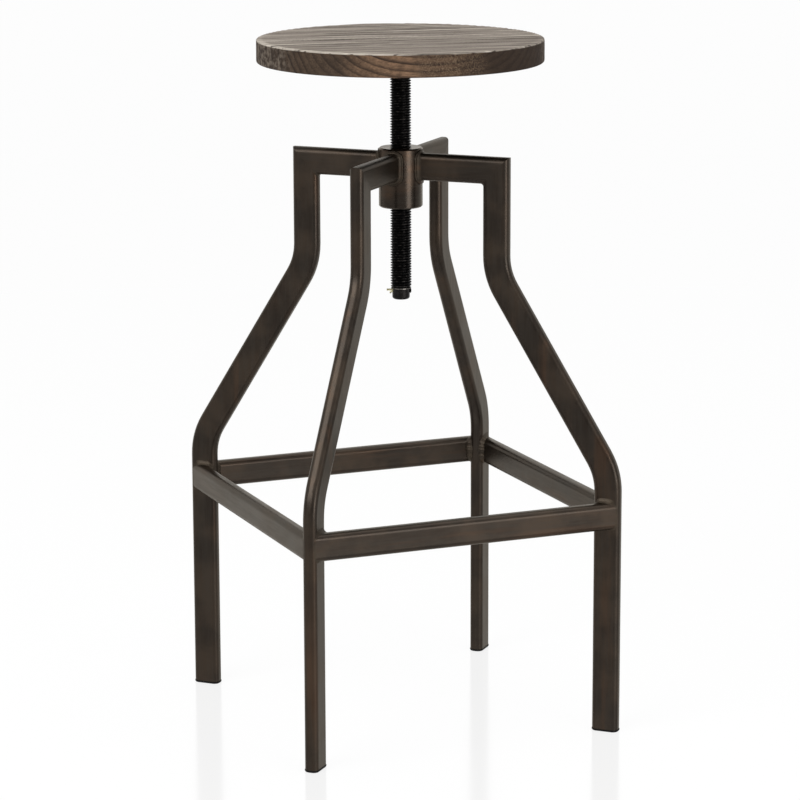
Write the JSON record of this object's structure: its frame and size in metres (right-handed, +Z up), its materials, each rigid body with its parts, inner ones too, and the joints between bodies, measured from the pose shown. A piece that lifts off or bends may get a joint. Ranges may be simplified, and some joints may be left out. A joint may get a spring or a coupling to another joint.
{
  "type": "bar stool",
  "caption": "Screw-lift bar stool: round wooden seat on a threaded spindle, carried by a welded frame of bent flat-sided tube legs with a square footrest ring.",
  "frame": {"origin": "on the floor, under the screw's axis", "axes": "+Z up along the screw; the footrest tubes run along X and Y, and the legs stand on the diagonals"},
  "size_m": [0.386, 0.386, 0.785],
  "materials": {
    "seat_wood": "weathered grey-brown, wire-brushed, matt",
    "frame_steel": "dark bronze gunmetal, satin, patchy",
    "screw_steel": "oiled black",
    "plate_steel": "satin black",
    "fastener_steel": "black oxide",
    "pin_brass": "yellow zinc",
    "washer_steel": "plain, dulled",
    "foot_plastic": "moulded black"
  },
  "bodies": {
    "frame": {"hub": "frame_steel", "arm_back_right": "frame_steel", "arm_back_left": "frame_steel", "arm_front_left": "frame_steel", "arm_front_right": "frame_steel", "leg_back_right": "frame_steel", "leg_back_left": "frame_steel", "leg_front_left": "frame_steel", "leg_front_right": "frame_steel", "stretcher_front": "frame_steel", "stretcher_right": "frame_steel", "stretcher_back": "frame_steel", "stretcher_left": "frame_steel", "foot_plug_back_right": "foot_plastic", "foot_plug_back_left": "foot_plastic", "foot_plug_front_left": "foot_plastic", "foot_plug_front_right": "foot_plastic"},
    "lift_washer": {"stop_washer": "washer_steel"},
    "seat_assembly": {"seat": "seat_wood", "seat_plate": "plate_steel", "plate_screws": "fastener_steel", "lift_screw": "screw_steel", "stop_pin": "pin_brass"}
  },
  "joints": [
    {"name": "seat_lift", "type": "slide", "parent": "frame", "child": "lift_washer", "axis": [0, 0, 1], "range_m": [-0.0916, 0.0931]},
    {"name": "seat_turn", "type": "hinge", "parent": "lift_washer", "child": "seat_assembly", "pos_m": [0, 0, 0.66], "axis": [0, 0, 1], "range_deg": [-10980, 11160]}
  ],
  "couplings": [
    {"joint": "seat_lift", "follows": "seat_turn", "m_per_rad": 0.00047746}
  ]
}
